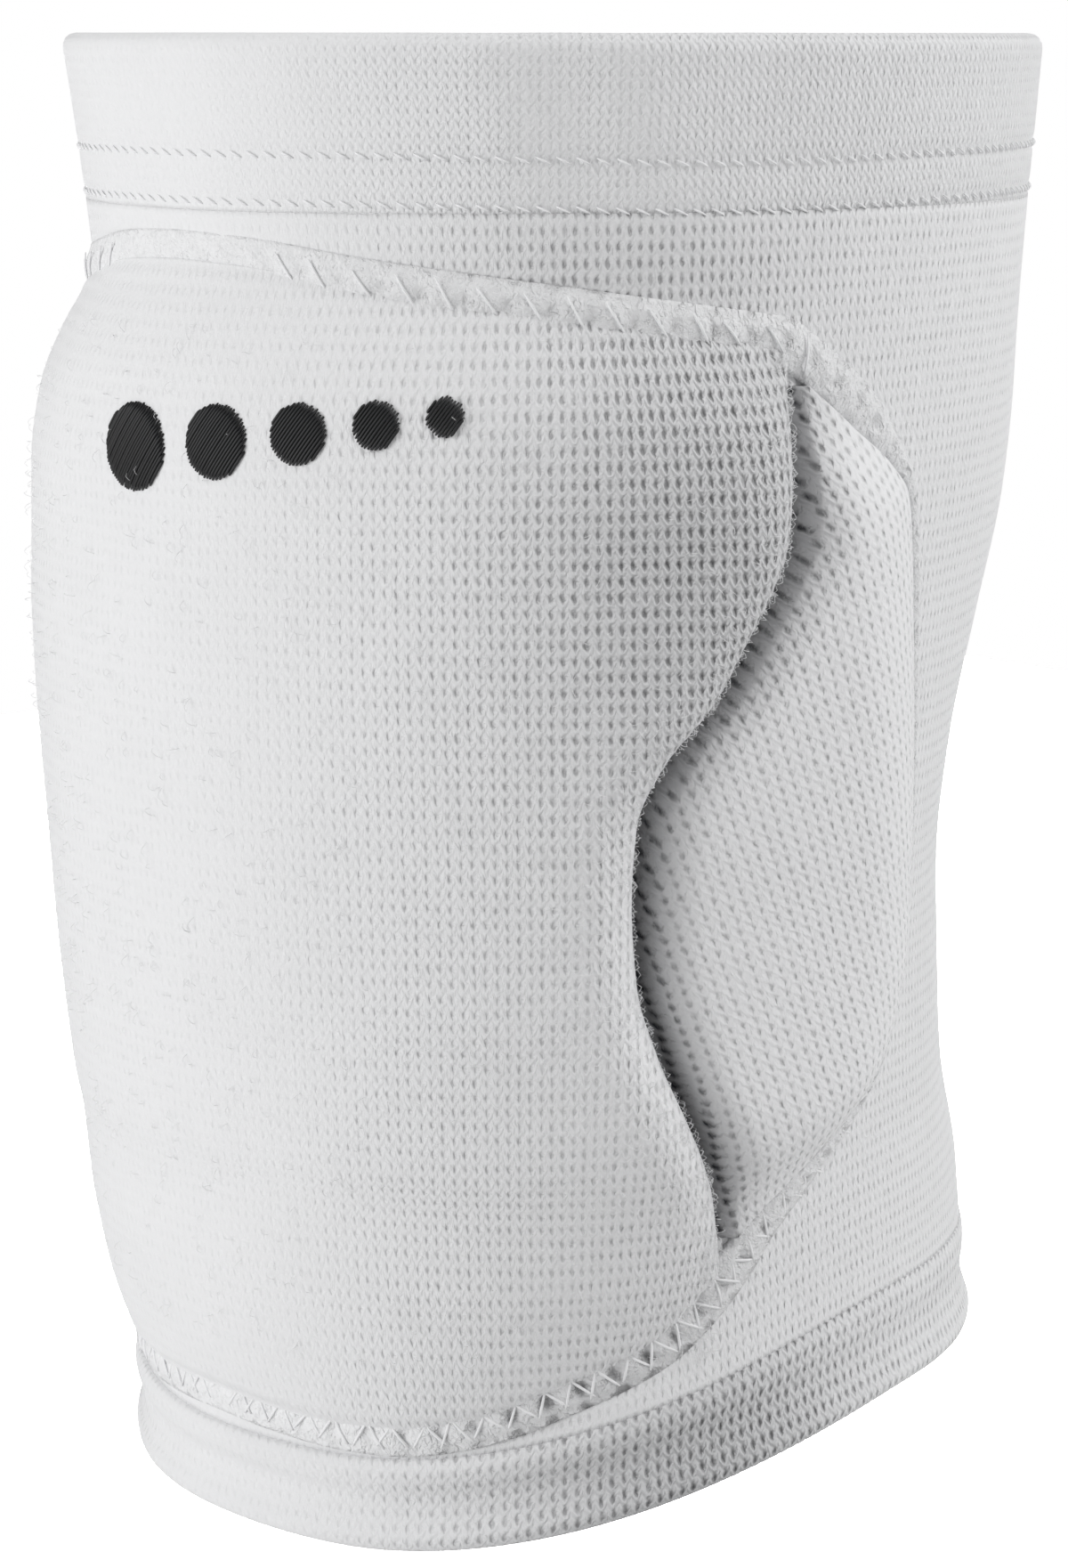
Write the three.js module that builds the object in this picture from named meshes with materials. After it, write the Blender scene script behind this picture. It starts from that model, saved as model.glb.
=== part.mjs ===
// A knitted volleyball knee pad, in the shape that it has on a slightly bent knee.
//
// A tube of thick elastic knit has a folded hem at each end. A padded cover is sewn
// over its front half: a broad shaped pad over the kneecap, whose sides are scalloped,
// and a D-shaped wing pad down each flank, with a deep crease between pad and wing.
// The cover's edge is a flat band of overlock and zigzag stitching all round the pads.
//
// Millimetres. +Z runs up the leg and -Y is the front of the knee. The origin is the
// centre of the knee, on the axis that the sections below are measured from.

import * as THREE from "three";

// Sizes of the sleeve
const sleeveLength = 199.3; // top rim to bottom rim, down the front
const backRise = 14; // how much higher the bottom rim is at the back than at the front
const kneeWidth = 108; // outside of the bare sleeve, side to side, at the knee
const kneeDepth = 114; // outside of the bare sleeve, front to back, at the knee
const kneeDrop = 107; // top rim to the centre of the knee
const clothThickness = 2.2;

// Sizes of the hems
const upperHemHeight = 22;
const upperHemThickness = 4;
const lowerHemHeight = 13; // at the front
const lowerHemExtra = 2.2; // how much taller the lower hem is at the back
const lowerHemThickness = 4.4;
const lowerHemRidge = 1.5; // how far the lower hem's top edge stands out at the front
const lowerHemFlare = 1.1; // how far its bottom edge does

// Sizes of the padded cover
const padThickness = 14; // kneecap pad with its cover, at its thickest
const padRoundover = 7; // width of the rounding down each side of the kneecap pad
const padRimThickness = 1.5; // what the pads thin down to along the stitching
const wingThickness = 8.5;
const wingCreaseRise = 6; // how far from the crease the wing reaches its height
const wingSeamFall = 17; // how far from the side seam the wing begins to fall
const wingEndFall = 20; // the same from its two ends
const bandWidth = 5; // stitched band above and below the pads
const sideBandWidth = 2.4; // the same band where it runs down each flank
const bandThickness = 1.2;
const coverDrop = 3.1; // plain sleeve between the upper hem and the band
const coverMargin = 1.1; // plain sleeve between the band and the lower hem

// Clearances
const clearance = 0.3; // between pieces that meet end to end
const seatClearance = 0.4; // between the sleeve and what is sewn on it
const creaseWidth = 0.8; // between the kneecap pad and each wing
const wingLeast = 2.5; // width of the wing's blunt ends

// Where the band is narrow, between these shares of the cover's length
const narrowBand = { begins: 0.13, full: 0.2, ends: 0.75, wide: 0.86 };

// Sections of the bare sleeve's outside. down is a share of sleeveLength, width of
// kneeWidth, and front and back, both measured from the axis, of kneeDepth.
const sections = [
  { down: 0.0, width: 1.188, front: 0.601, back: 0.634 },
  { down: 0.141, width: 1.139, front: 0.559, back: 0.623 },
  { down: 0.236, width: 1.111, front: 0.54, back: 0.622 },
  { down: 0.312, width: 1.089, front: 0.525, back: 0.607 },
  { down: 0.402, width: 1.059, front: 0.518, back: 0.561 },
  { down: 0.492, width: 1.03, front: 0.511, back: 0.515 },
  { down: 0.573, width: 1.004, front: 0.502, back: 0.496 },
  { down: 0.643, width: 0.994, front: 0.493, back: 0.506 },
  { down: 0.729, width: 0.993, front: 0.49, back: 0.526 },
  { down: 0.814, width: 1.011, front: 0.511, back: 0.564 },
  { down: 0.905, width: 1.037, front: 0.527, back: 0.576 },
  { down: 1.03, width: 1.046, front: 0.531, back: 0.578 },
];

// The cover's outline, for one side. angle is in degrees round the leg from its front,
// and down is a share of the cover's length.
const topSeam = [
  { angle: -10, down: 0.003 },
  { angle: 0, down: 0.0 },
  { angle: 10, down: 0.003 },
  { angle: 25, down: 0.017 },
  { angle: 40, down: 0.031 },
  { angle: 60, down: 0.05 },
  { angle: 77, down: 0.067 },
];
const sideSeam = [
  { down: 0.067, angle: 77 },
  { down: 0.083, angle: 80.6 },
  { down: 0.125, angle: 89.1 },
  { down: 0.163, angle: 96 },
  { down: 0.194, angle: 99.7 },
  { down: 0.241, angle: 101.5 },
  { down: 0.321, angle: 103.8 },
  { down: 0.443, angle: 107.5 },
  { down: 0.526, angle: 109.4 },
  { down: 0.591, angle: 110 },
  { down: 0.646, angle: 108.5 },
  { down: 0.705, angle: 104.1 },
  { down: 0.752, angle: 96.4 },
  { down: 0.796, angle: 87 },
  { down: 0.831, angle: 79.5 },
  { down: 0.857, angle: 75.4 },
];
const bottomSeam = [
  { angle: -10, down: 0.996 },
  { angle: 0, down: 0.993 },
  { angle: 10, down: 0.996 },
  { angle: 21, down: 1.0 },
  { angle: 28, down: 0.999 },
  { angle: 37, down: 0.989 },
  { angle: 51.5, down: 0.955 },
  { angle: 63, down: 0.923 },
  { angle: 70, down: 0.89 },
  { angle: 75.4, down: 0.857 },
];

// The scalloped crease between the kneecap pad and a wing
const crease = [
  { down: 0.09, angle: 77.1 },
  { down: 0.166, angle: 76.6 },
  { down: 0.225, angle: 76 },
  { down: 0.265, angle: 74 },
  { down: 0.3, angle: 71.4 },
  { down: 0.353, angle: 67.4 },
  { down: 0.403, angle: 61.8 },
  { down: 0.455, angle: 58.6 },
  { down: 0.516, angle: 58.1 },
  { down: 0.593, angle: 58.9 },
  { down: 0.656, angle: 61.6 },
  { down: 0.724, angle: 66.3 },
  { down: 0.757, angle: 68.6 },
  { down: 0.789, angle: 70.3 },
  { down: 0.84, angle: 71.7 },
];

// Height of the kneecap pad from its top edge to its bottom edge, as a share of padThickness
const padProfile = [
  { along: 0.0, height: 0.13 },
  { along: 0.03, height: 0.36 },
  { along: 0.08, height: 0.64 },
  { along: 0.15, height: 0.84 },
  { along: 0.22, height: 0.91 },
  { along: 0.3, height: 0.97 },
  { along: 0.45, height: 1.0 },
  { along: 0.6, height: 1.0 },
  { along: 0.735, height: 0.92 },
  { along: 0.81, height: 0.79 },
  { along: 0.885, height: 0.58 },
  { along: 0.95, height: 0.36 },
  { along: 1.0, height: 0.14 },
];

// Section of the lower hem above its fold, from its inside to its outside. lift is a
// share of how far the ridge stands out there, and along of the hem's height.
const ridgeProfile = [
  { lift: 0.3, along: 0 },
  { lift: 1, along: 0.14 },
  { lift: 0.6, along: 0.42 },
];
const backRidge = 0.3; // how far the ridge stands out at the back, as a share of the front

// The band's section. across is a share of half its width, and height of its thickness.
const bandProfile = [
  { across: 1, height: 0 },
  { across: -1, height: 0 },
  { across: -0.85, height: 0.7 },
  { across: 0, height: 1 },
  { across: 0.85, height: 0.7 },
];

// The bottom rim rises from front to back between these two angles from the front.
const riseStart = 20;
const riseEnd = 112;

// Facets
const roundFacets = 60;
const sleeveRows = 14;
const padColumns = 26;
const padRows = 24;
const wingColumns = 10;
const wingRows = 20;
const bandSteps = 48; // along each half of the band
const hemArcSteps = 4; // round the fold of a hem
const seamSteps = 60; // along each of a seam's three stretches, before it is spaced evenly
const wingSearchStep = 0.25; // in finding the wing's ends
const sideTurns = 30; // of closing in on the kneecap pad's side
const sideCrowding = 0.86; // crowds the pad's columns towards its sides, from 0 to 1

// Share of the way from low to high, held between 0 and 1
function share(value, low, high) {
  return THREE.MathUtils.clamp((value - low) / (high - low), 0, 1);
}

// A smooth curve through a table's rows, with no overshoot between them
function curve(table, key, column) {
  const x = table.map((row) => row[key]);
  const y = table.map((row) => row[column]);
  const rise = x.slice(1).map((next, i) => (y[i + 1] - y[i]) / (next - x[i]));
  const slope = y.map((_, i) => {
    const before = rise[i - 1] ?? rise[0];
    const after = rise[i] ?? rise[rise.length - 1];
    return before * after <= 0 ? 0 : (2 * before * after) / (before + after);
  });
  return (value) => {
    const at = THREE.MathUtils.clamp(value, x[0], x[x.length - 1]);
    let i = 0;
    while (i < rise.length - 1 && at > x[i + 1]) i += 1;
    const span = x[i + 1] - x[i];
    const t = (at - x[i]) / span;
    const bend = t * t * (3 - 2 * t);
    return (
      y[i] * (1 - bend) +
      y[i + 1] * bend +
      span * t * (1 - t) * ((1 - t) * slope[i] - t * slope[i + 1])
    );
  };
}

const sectionWidth = curve(sections, "down", "width");
const sectionFront = curve(sections, "down", "front");
const sectionBack = curve(sections, "down", "back");

// A point of the bare sleeve's outside. angle is in radians from the front, and down is
// in millimetres from the top rim.
function sectionPoint(angle, down) {
  const at = down / sleeveLength;
  const depth = Math.cos(angle) > 0 ? sectionFront(at) : sectionBack(at);
  const across = Math.sin(angle) / ((sectionWidth(at) * kneeWidth) / 2);
  const along = Math.cos(angle) / (depth * kneeDepth);
  const radius = 1 / Math.hypot(across, along);
  return new THREE.Vector3(
    radius * Math.sin(angle),
    -radius * Math.cos(angle),
    kneeDrop - down,
  );
}

// The same point moved out along the surface's normal by lift
function sleevePoint(angle, down, lift) {
  const step = { angle: 0.01, down: 0.5 };
  const round = sectionPoint(angle + step.angle, down).sub(
    sectionPoint(angle - step.angle, down),
  );
  const lengthwise = sectionPoint(angle, down + step.down).sub(
    sectionPoint(angle, down - step.down),
  );
  const normal = lengthwise.cross(round).normalize();
  return sectionPoint(angle, down).addScaledVector(normal, lift);
}

// How far round from front to back an angle is, as an eased share
function backShare(angle) {
  const turned = Math.abs(THREE.MathUtils.radToDeg(angle));
  return (1 - Math.cos(Math.PI * share(turned, riseStart, riseEnd))) / 2;
}

// How far the bottom rim is below the top rim, and how far the lower hem's top edge is
function rimDown(angle) {
  return sleeveLength - backRise * backShare(angle);
}
function lowerHemDown(angle) {
  return rimDown(angle) - lowerHemHeight - lowerHemExtra * backShare(angle);
}

const coverTop = upperHemHeight + coverDrop + bandWidth / 2;
const coverLength =
  sleeveLength - lowerHemHeight - coverMargin - bandWidth / 2 - coverTop;
const onCover = (fraction) => coverTop + fraction * coverLength;
const coverShare = (down) => (down - coverTop) / coverLength;

// A closed solid from a grid that runs round on itself in both directions
function ringGeometry(steps, points, pointAt) {
  const positions = [];
  const faces = [];
  for (let i = 0; i < steps; i += 1)
    for (let j = 0; j < points; j += 1) {
      positions.push(...pointAt(i, j).toArray());
      const a = i * points + j;
      const b = ((i + 1) % steps) * points + j;
      const c = ((i + 1) % steps) * points + ((j + 1) % points);
      const d = i * points + ((j + 1) % points);
      faces.push(a, d, c, a, c, b);
    }
  return closedGeometry(positions, faces);
}

// A closed solid between an outer and an inner grid of the same size
function slabGeometry(columns, rows, pointAt) {
  const positions = [];
  const faces = [];
  const size = (columns + 1) * (rows + 1);
  for (const side of ["outer", "inner"])
    for (let j = 0; j <= rows; j += 1)
      for (let i = 0; i <= columns; i += 1)
        positions.push(...pointAt(i / columns, j / rows, side).toArray());
  const at = (i, j) => j * (columns + 1) + i;
  const quad = (a, b, c, d) => faces.push(a, b, c, a, c, d);
  for (let j = 0; j < rows; j += 1)
    for (let i = 0; i < columns; i += 1) {
      const ring = [at(i, j), at(i, j + 1), at(i + 1, j + 1), at(i + 1, j)];
      quad(...ring);
      quad(...ring.map((k) => k + size).reverse());
    }
  const border = [];
  for (let i = 0; i < columns; i += 1) border.push(at(i, 0));
  for (let j = 0; j < rows; j += 1) border.push(at(columns, j));
  for (let i = columns; i > 0; i -= 1) border.push(at(i, rows));
  for (let j = rows; j > 0; j -= 1) border.push(at(0, j));
  border.forEach((a, k) => {
    const b = border[(k + 1) % border.length];
    quad(a, b, b + size, a + size);
  });
  return closedGeometry(positions, faces);
}

function closedGeometry(positions, faces) {
  const geometry = new THREE.BufferGeometry();
  geometry.setAttribute(
    "position",
    new THREE.Float32BufferAttribute(positions, 3),
  );
  geometry.setIndex(faces);
  geometry.computeVertexNormals();
  return geometry;
}

// The knitted tube between the hems
function sleeveGeometry() {
  const points = 2 * (sleeveRows + 1);
  return ringGeometry(roundFacets, points, (i, j) => {
    const angle = wrapped((2 * Math.PI * i) / roundFacets);
    const outside = j <= sleeveRows;
    const row = outside ? j : points - 1 - j;
    const top = upperHemHeight + clearance;
    const bottom = lowerHemDown(angle) - clearance;
    const down = top + ((bottom - top) * row) / sleeveRows;
    return sleevePoint(angle, down, outside ? 0 : -clothThickness);
  });
}

// An angle from -180 to 180 degrees, so that both flanks read the same tables
function wrapped(angle) {
  return angle > Math.PI ? angle - 2 * Math.PI : angle;
}

// Half circle round the fold of a hem, from its outside to its inside
function foldArc(thickness, outside, rim, towards) {
  const radius = thickness / 2;
  return Array.from({ length: hemArcSteps + 1 }, (_, k) => {
    const turn = (Math.PI * k) / hemArcSteps;
    return {
      lift: outside - radius + radius * Math.cos(turn),
      down: rim + towards * radius * (1 - Math.sin(turn)),
    };
  });
}

// A hem swept round the leg from its section, given as a list of lift and down
function hemGeometry(sectionAt) {
  const points = sectionAt(0).length;
  return ringGeometry(roundFacets, points, (i, j) => {
    const angle = wrapped((2 * Math.PI * i) / roundFacets);
    const { lift, down } = sectionAt(angle)[j];
    return sleevePoint(angle, down, lift);
  });
}

// The upper hem is folded to the inside, so its outside is flush with the sleeve.
function upperHemSection() {
  const inside = -upperHemThickness;
  return [
    { lift: inside, down: upperHemHeight },
    ...foldArc(upperHemThickness, 0, 0, 1).reverse(),
    { lift: 0, down: upperHemHeight },
  ];
}

// The lower hem stands out in a ridge along its top, most of all at the front, is drawn
// in below that, and flares at its bottom edge.
function lowerHemSection(angle) {
  const top = lowerHemDown(angle);
  const rim = rimDown(angle);
  const height = rim - top;
  const ridge = lowerHemRidge * THREE.MathUtils.lerp(1, backRidge, backShare(angle));
  return [
    { lift: ridge - lowerHemThickness, down: top },
    ...ridgeProfile.map((row) => ({
      lift: ridge * row.lift,
      down: top + height * row.along,
    })),
    ...foldArc(lowerHemThickness, lowerHemFlare, rim, -1),
  ];
}

// Width of the stitched band at a share of the cover's length
function bandWidthAt(fraction) {
  const { begins, full, ends, wide } = narrowBand;
  const narrow = share(fraction, begins, full) * share(fraction, wide, ends);
  return THREE.MathUtils.lerp(bandWidth, sideBandWidth, narrow);
}

const topAt = curve(topSeam, "angle", "down");
const bottomAt = curve(bottomSeam, "angle", "down");
const sideAt = curve(sideSeam, "down", "angle");
const creaseAt = curve(crease, "down", "angle");

// Distance round the leg from its front, for an angle in degrees, and the angle for a distance
const roundOf = (angle) => (THREE.MathUtils.degToRad(angle) * kneeWidth) / 2;
const angleOf = (round) => THREE.MathUtils.radToDeg((2 * round) / kneeWidth);

// The cover's seam on the +X side, from the front's top round to the front's bottom,
// as evenly spaced points of angle in degrees and share of the cover's length
function halfSeam(steps) {
  const corner = { top: topSeam.at(-1).angle, bottom: bottomSeam.at(-1).angle };
  const ends = { top: sideSeam[0].down, bottom: sideSeam.at(-1).down };
  const path = [];
  for (let k = 0; k < seamSteps; k += 1) {
    const angle = (corner.top * k) / seamSteps;
    path.push({ angle, down: topAt(angle) });
  }
  for (let k = 0; k < seamSteps; k += 1) {
    const down = THREE.MathUtils.lerp(ends.top, ends.bottom, k / seamSteps);
    path.push({ angle: sideAt(down), down });
  }
  for (let k = 0; k <= seamSteps; k += 1) {
    const angle = corner.bottom * (1 - k / seamSteps);
    path.push({ angle, down: bottomAt(angle) });
  }
  const flat = path.map(
    (p) => new THREE.Vector3(roundOf(p.angle), p.down * coverLength, 0),
  );
  const line = new THREE.CurvePath();
  flat.slice(1).forEach((p, k) => line.add(new THREE.LineCurve3(flat[k], p)));
  return line
    .getSpacedPoints(steps)
    .map((p) => ({ angle: angleOf(p.x), down: p.y / coverLength }));
}

// The flat stitched band round the padded cover, one closed loop
function bandGeometry() {
  const half = halfSeam(bandSteps);
  const mirrored = half
    .slice(1, -1)
    .reverse()
    .map((p) => ({ angle: -p.angle, down: p.down }));
  const loop = [...half, ...mirrored];
  const place = (p, lift) =>
    sleevePoint(THREE.MathUtils.degToRad(p.angle), onCover(p.down), lift);
  return ringGeometry(loop.length, bandProfile.length, (i, j) => {
    const here = loop[i];
    const before = place(loop[(i + loop.length - 1) % loop.length], 0);
    const after = place(loop[(i + 1) % loop.length], 0);
    const base = place(here, seatClearance);
    const normal = place(here, 1).sub(place(here, 0));
    const sideways = after.sub(before).cross(normal).normalize();
    const halfWidth = bandWidthAt(here.down) / 2;
    const { across, height } = bandProfile[j];
    return base
      .addScaledVector(sideways, across * halfWidth)
      .addScaledVector(normal, height * bandThickness);
  });
}

// How far below or above the seam's centre line the kneecap pad ends, so that it clears
// the band where the seam runs at a slant
function padInset(seamAt, angle) {
  const step = 1;
  const here = Math.min(Math.abs(angle), crease[0].angle - step);
  const rise = (seamAt(here + step) - seamAt(here - step)) * coverLength;
  const run = roundOf(2 * step);
  return (bandWidth / 2 + seatClearance) * Math.hypot(1, rise / run);
}

// Angle of the kneecap pad's side at a share of the way from its top to its bottom edge,
// where that side runs along the crease
function padSide(along) {
  let angle = crease[0].angle;
  for (let k = 0; k < sideTurns; k += 1)
    angle = creaseAt(coverShare(padDown(angle, along))) - angleOf(creaseWidth / 2);
  return angle;
}

function padDown(angle, along) {
  const top = onCover(topAt(Math.abs(angle))) + padInset(topAt, angle);
  const bottom = onCover(bottomAt(Math.abs(angle))) - padInset(bottomAt, angle);
  return THREE.MathUtils.lerp(top, bottom, along);
}

// A quarter circle's rise, from 0 at the edge to 1 at the full distance
function roundRise(distance, width) {
  const left = 1 - share(distance, 0, width);
  return Math.sqrt(1 - left * left);
}

const padHeight = curve(padProfile, "along", "height");

// The thick shaped pad over the kneecap
function kneecapPadGeometry() {
  return slabGeometry(padColumns, padRows, (across, along, side) => {
    const edge = padSide(along);
    const quarter = (sideCrowding * Math.PI) / 2;
    const angle = (edge * Math.sin((2 * across - 1) * quarter)) / Math.sin(quarter);
    const toEdge = roundOf(edge - Math.abs(angle));
    const height = Math.max(padThickness * padHeight(along) - padRimThickness, 0);
    const outer = padRimThickness + height * roundRise(toEdge, padRoundover);
    return sleevePoint(
      THREE.MathUtils.degToRad(angle),
      padDown(angle, along),
      seatClearance + (side === "outer" ? outer : 0),
    );
  });
}

// The wing's back edge: the side seam, moved in by half the band and a clearance
const flankSeam = halfSeam(4 * bandSteps)
  .map((p) => ({
    round: roundOf(p.angle),
    down: onCover(p.down),
    inset: bandWidthAt(p.down) / 2 + seatClearance,
  }))
  .filter((p) => p.round > wingFront(p.down));
function wingBack(down) {
  const reach = flankSeam
    .filter((p) => Math.abs(p.down - down) < p.inset)
    .map((p) => p.round - Math.sqrt(p.inset ** 2 - (p.down - down) ** 2));
  return Math.min(...reach);
}

function wingFront(down) {
  return roundOf(creaseAt(coverShare(down))) + creaseWidth / 2;
}

// The wing's two ends, where it narrows to wingLeast
function wingEnds() {
  const middle = onCover(0.5);
  const wide = (down) => wingBack(down) - wingFront(down) > wingLeast;
  let top = middle;
  while (wide(top - wingSearchStep)) top -= wingSearchStep;
  let bottom = middle;
  while (wide(bottom + wingSearchStep)) bottom += wingSearchStep;
  return { top, bottom };
}

// A D-shaped pad down one flank, which is 1 for +X and -1 for -X
function wingGeometry(flank) {
  const { top, bottom } = wingEnds();
  return slabGeometry(wingColumns, wingRows, (column, row, side) => {
    const across = flank > 0 ? column : 1 - column;
    const eased = (1 - Math.cos(Math.PI * row)) / 2;
    const down = THREE.MathUtils.lerp(top, bottom, eased);
    const front = wingFront(down);
    const back = wingBack(down);
    const round = THREE.MathUtils.lerp(front, back, across);
    const rise =
      roundRise(round - front, wingCreaseRise) *
      Math.sin((Math.PI / 2) * share(back - round, 0, wingSeamFall)) *
      Math.sin((Math.PI / 2) * share(down, top, top + wingEndFall)) *
      Math.sin((Math.PI / 2) * share(down, bottom, bottom - wingEndFall));
    const outer = padRimThickness + (wingThickness - padRimThickness) * rise;
    return sleevePoint(
      (flank * round) / (kneeWidth / 2),
      down,
      seatClearance + (side === "outer" ? outer : 0),
    );
  });
}

const knit = new THREE.MeshStandardMaterial({
  color: 0xe9e9eb,
  roughness: 0.95,
  metalness: 0,
});
const padCover = new THREE.MeshStandardMaterial({
  color: 0xe6e6e8,
  roughness: 0.95,
  metalness: 0,
});
const stitching = new THREE.MeshStandardMaterial({
  color: 0xf0f0f1,
  roughness: 0.8,
  metalness: 0,
});

const kneePad = new THREE.Group();
const pieces = [
  ["sleeve", sleeveGeometry(), knit],
  ["upper_hem", hemGeometry(upperHemSection), knit],
  ["lower_hem", hemGeometry(lowerHemSection), knit],
  ["kneecap_pad", kneecapPadGeometry(), padCover],
  ["wing_pad_left", wingGeometry(1), padCover],
  ["wing_pad_right", wingGeometry(-1), padCover],
  ["cover_band", bandGeometry(), stitching],
];
for (const [name, geometry, material] of pieces) {
  const mesh = new THREE.Mesh(geometry, material);
  mesh.name = name;
  kneePad.add(mesh);
}

export default kneePad;
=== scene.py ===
"""Looks of the knitted knee pad: camera, soft studio light, knit, seams and threads.

Lengths are in millimetres until a mesh is made, angles in degrees round the leg from
its front towards +X, and down is the distance below the top rim.
"""

import math

import bpy
import numpy as np
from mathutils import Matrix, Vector


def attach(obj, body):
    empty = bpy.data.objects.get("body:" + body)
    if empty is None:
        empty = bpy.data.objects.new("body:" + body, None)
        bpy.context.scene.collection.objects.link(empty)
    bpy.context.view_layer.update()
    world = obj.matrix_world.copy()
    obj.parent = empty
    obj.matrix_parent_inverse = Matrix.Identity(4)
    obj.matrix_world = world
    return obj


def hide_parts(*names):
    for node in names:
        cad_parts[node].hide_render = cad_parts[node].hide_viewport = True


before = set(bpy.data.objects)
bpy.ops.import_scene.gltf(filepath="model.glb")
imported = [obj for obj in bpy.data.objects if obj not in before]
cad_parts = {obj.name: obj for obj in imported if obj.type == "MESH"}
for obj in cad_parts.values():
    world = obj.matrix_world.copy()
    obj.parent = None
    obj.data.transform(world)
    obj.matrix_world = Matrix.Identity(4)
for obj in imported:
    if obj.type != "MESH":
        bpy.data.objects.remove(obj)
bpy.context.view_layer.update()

MM = 0.001

# Camera: the photo's long side, its focal length in pixels, and where it stands
PHOTO_LONG_SIDE = 1761
FOCAL_PIXELS = 4400
CAMERA_DISTANCE = 550
CAMERA_AZIMUTH = 48
CAMERA_PITCH = 10.84
CAMERA_SIDESTEP = 2.0

# Sizes of the sleeve, as in the part
SLEEVE_LENGTH = 199.3
BACK_RISE = 14
KNEE_WIDTH = 108
KNEE_DEPTH = 114
KNEE_DROP = 107
CLOTH = 2.2

# Hems
UPPER_HEM_HEIGHT = 22
UPPER_HEM_THICKNESS = 4
LOWER_HEM_HEIGHT = 13
LOWER_HEM_EXTRA = 2.2
LOWER_HEM_THICKNESS = 4.4
LOWER_HEM_RIDGE = 1.5
LOWER_HEM_FLARE = 1.1
BACK_RIDGE = 0.3
RISE_START, RISE_END = 20, 112

# Padded cover
PAD_THICKNESS = 14
PAD_ROUNDOVER = 7
PAD_RIM = 1.5
WING_THICKNESS = 8.5
WING_CREASE_RISE = 6
WING_SEAM_FALL = 17
WING_END_FALL = 20
WING_LEAST = 2.5
BAND_WIDTH = 5
SIDE_BAND_WIDTH = 2.4
BAND_THICKNESS = 1.2
COVER_DROP = 3.1
COVER_MARGIN = 1.1
SEAT = 0.4
CREASE_WIDTH = 0.8

# Loops of the knit: a wale's width and a course's height in millimetres, or how many there
# are, the depth of the holes, and how far the loops stand up, as a share of that depth
PAD_KNIT = {"wale": 1.1, "course": 1.98, "depth": 0.13, "level": 0.35, "ribs": 0.08}
WING_KNIT = {"wale": 1.65, "course": 1.8, "depth": 0.14, "level": 0.35, "tilt": 18}
SLEEVE_KNIT = {"wales": 290, "courses": 78, "depth": 0.12, "level": 0.2}
UPPER_KNIT = {"wales": 330, "course": 1.5, "depth": 0.06, "level": 0.3}
LOWER_KNIT = {"wales": 230, "course": 1.9, "depth": 0.13, "level": 0.3}
BAND_KNIT = {"wale": 4.6, "rows": 2, "depth": 0.5}


def table(names, rows):
    """Columns of a short table, by name."""
    return dict(zip(names.split(), np.array(rows, float).T))


# Sections of the leg, as shares of the sleeve's length and of the knee's width and depth
SECTIONS = table(
    "down width front back",
    [
        (0.0, 1.188, 0.601, 0.634), (0.141, 1.139, 0.559, 0.623), (0.236, 1.111, 0.54, 0.622),
        (0.312, 1.089, 0.525, 0.607), (0.402, 1.059, 0.518, 0.561), (0.492, 1.03, 0.511, 0.515),
        (0.573, 1.004, 0.502, 0.496), (0.643, 0.994, 0.493, 0.506), (0.729, 0.993, 0.49, 0.526),
        (0.814, 1.011, 0.511, 0.564), (0.905, 1.037, 0.527, 0.576), (1.03, 1.046, 0.531, 0.578),
    ],
)

# The cover's seam and the crease: degrees, and shares of the cover's length
TOP_SEAM = table(
    "angle down",
    [(-10, 0.003), (0, 0), (10, 0.003), (25, 0.017), (40, 0.031), (60, 0.05), (77, 0.067)],
)
SIDE_SEAM = table(
    "down angle",
    [
        (0.067, 77), (0.083, 80.6), (0.125, 89.1), (0.163, 96), (0.194, 99.7), (0.241, 101.5),
        (0.321, 103.8), (0.443, 107.5), (0.526, 109.4), (0.591, 110), (0.646, 108.5),
        (0.705, 104.1), (0.752, 96.4), (0.796, 87), (0.831, 79.5), (0.857, 75.4),
    ],
)
BOTTOM_SEAM = table(
    "angle down",
    [
        (-10, 0.996), (0, 0.993), (10, 0.996), (21, 1.0), (28, 0.999), (37, 0.989),
        (51.5, 0.955), (63, 0.923), (70, 0.89), (75.4, 0.857),
    ],
)
CREASE = table(
    "down angle",
    [
        (0.09, 77.1), (0.166, 76.6), (0.225, 76), (0.265, 74), (0.3, 71.4), (0.353, 67.4),
        (0.403, 61.8), (0.455, 58.6), (0.516, 58.1), (0.593, 58.9), (0.656, 61.6),
        (0.724, 66.3), (0.757, 68.6), (0.789, 70.3), (0.84, 71.7),
    ],
)

# Heights across the pad from its top to its bottom, the lower hem's ridge and flare from its
# top to its rim, and the band from its inner edge to its outer one, as shares
PAD_PROFILE = table(
    "along height",
    [
        (0.0, 0.13), (0.03, 0.36), (0.08, 0.64), (0.15, 0.84), (0.22, 0.91), (0.3, 0.97),
        (0.45, 1.0), (0.6, 1.0), (0.735, 0.92), (0.81, 0.79), (0.885, 0.58), (0.95, 0.36),
        (1.0, 0.14),
    ],
)
HEM_PROFILE = table(
    "along ridge flare",
    [(0, 0.25, 0), (0.15, 0.8, 0), (0.28, 0.62, 0), (0.5, 0.08, -0.2), (0.7, 0, 0), (1.0, 0, 1)],
)
BAND_PROFILE = table(
    "across height",
    [(-1, 0.0), (-0.7, 0.4), (-0.4, 0.85), (0, 1), (0.4, 0.95), (0.8, 0.75), (1, 0.3)],
)
NARROW_BAND = {"begins": 0.13, "full": 0.2, "ends": 0.75, "wide": 0.86}


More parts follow.
